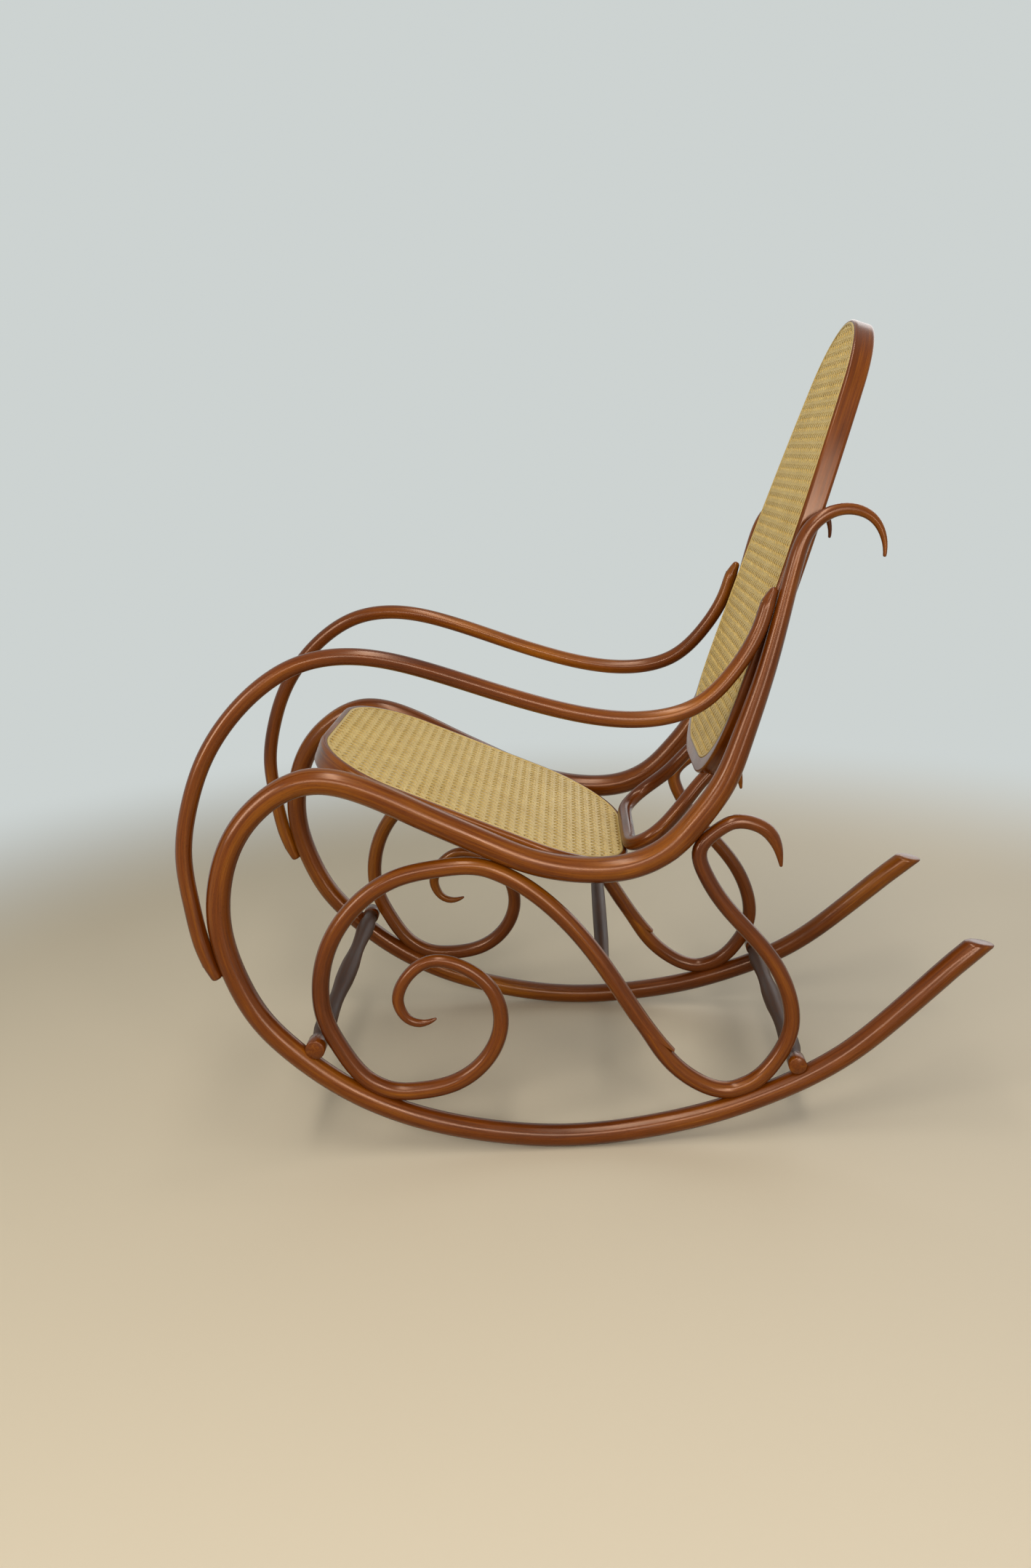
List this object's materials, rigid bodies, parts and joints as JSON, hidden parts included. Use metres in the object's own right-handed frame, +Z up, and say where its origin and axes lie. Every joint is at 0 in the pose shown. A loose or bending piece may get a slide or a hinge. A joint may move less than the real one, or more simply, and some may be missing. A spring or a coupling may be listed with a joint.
{
  "type": "rocking chair",
  "caption": "Bentwood rocking chair with scrolled side frames, curved arms, a woven cane seat and a tall woven cane back.",
  "frame": {"origin": "middle of the footprint, on the floor", "axes": "+Z up, the sitter faces -Y, +X is the sitter's left"},
  "size_m": [0.5364, 1.0952, 1.0953],
  "materials": {
    "bentwood": "stained and varnished, satin gloss",
    "turned_wood": "dark stained, satin",
    "cane": "natural woven cane, matt sheen",
    "spline": "natural cane strip, matt",
    "screw_metal": "dark, worn"
  },
  "bodies": {
    "root": {"side_rail_left": "bentwood", "side_rail_right": "bentwood", "arm_left": "bentwood", "arm_right": "bentwood", "front_scroll_left": "bentwood", "front_scroll_right": "bentwood", "rear_scroll_left": "bentwood", "rear_scroll_right": "bentwood", "arm_screws_left": "screw_metal", "arm_screws_right": "screw_metal", "scroll_screws_left": "screw_metal", "scroll_screws_right": "screw_metal", "front_stretcher": "turned_wood", "rear_stretcher": "turned_wood", "scroll_stretcher": "turned_wood", "seat_hoop": "bentwood", "seat_cane": "cane", "seat_spline": "spline", "back_hoop": "bentwood", "back_cane": "cane", "back_spline": "spline", "back_bow": "bentwood"}
  },
  "joints": []
}
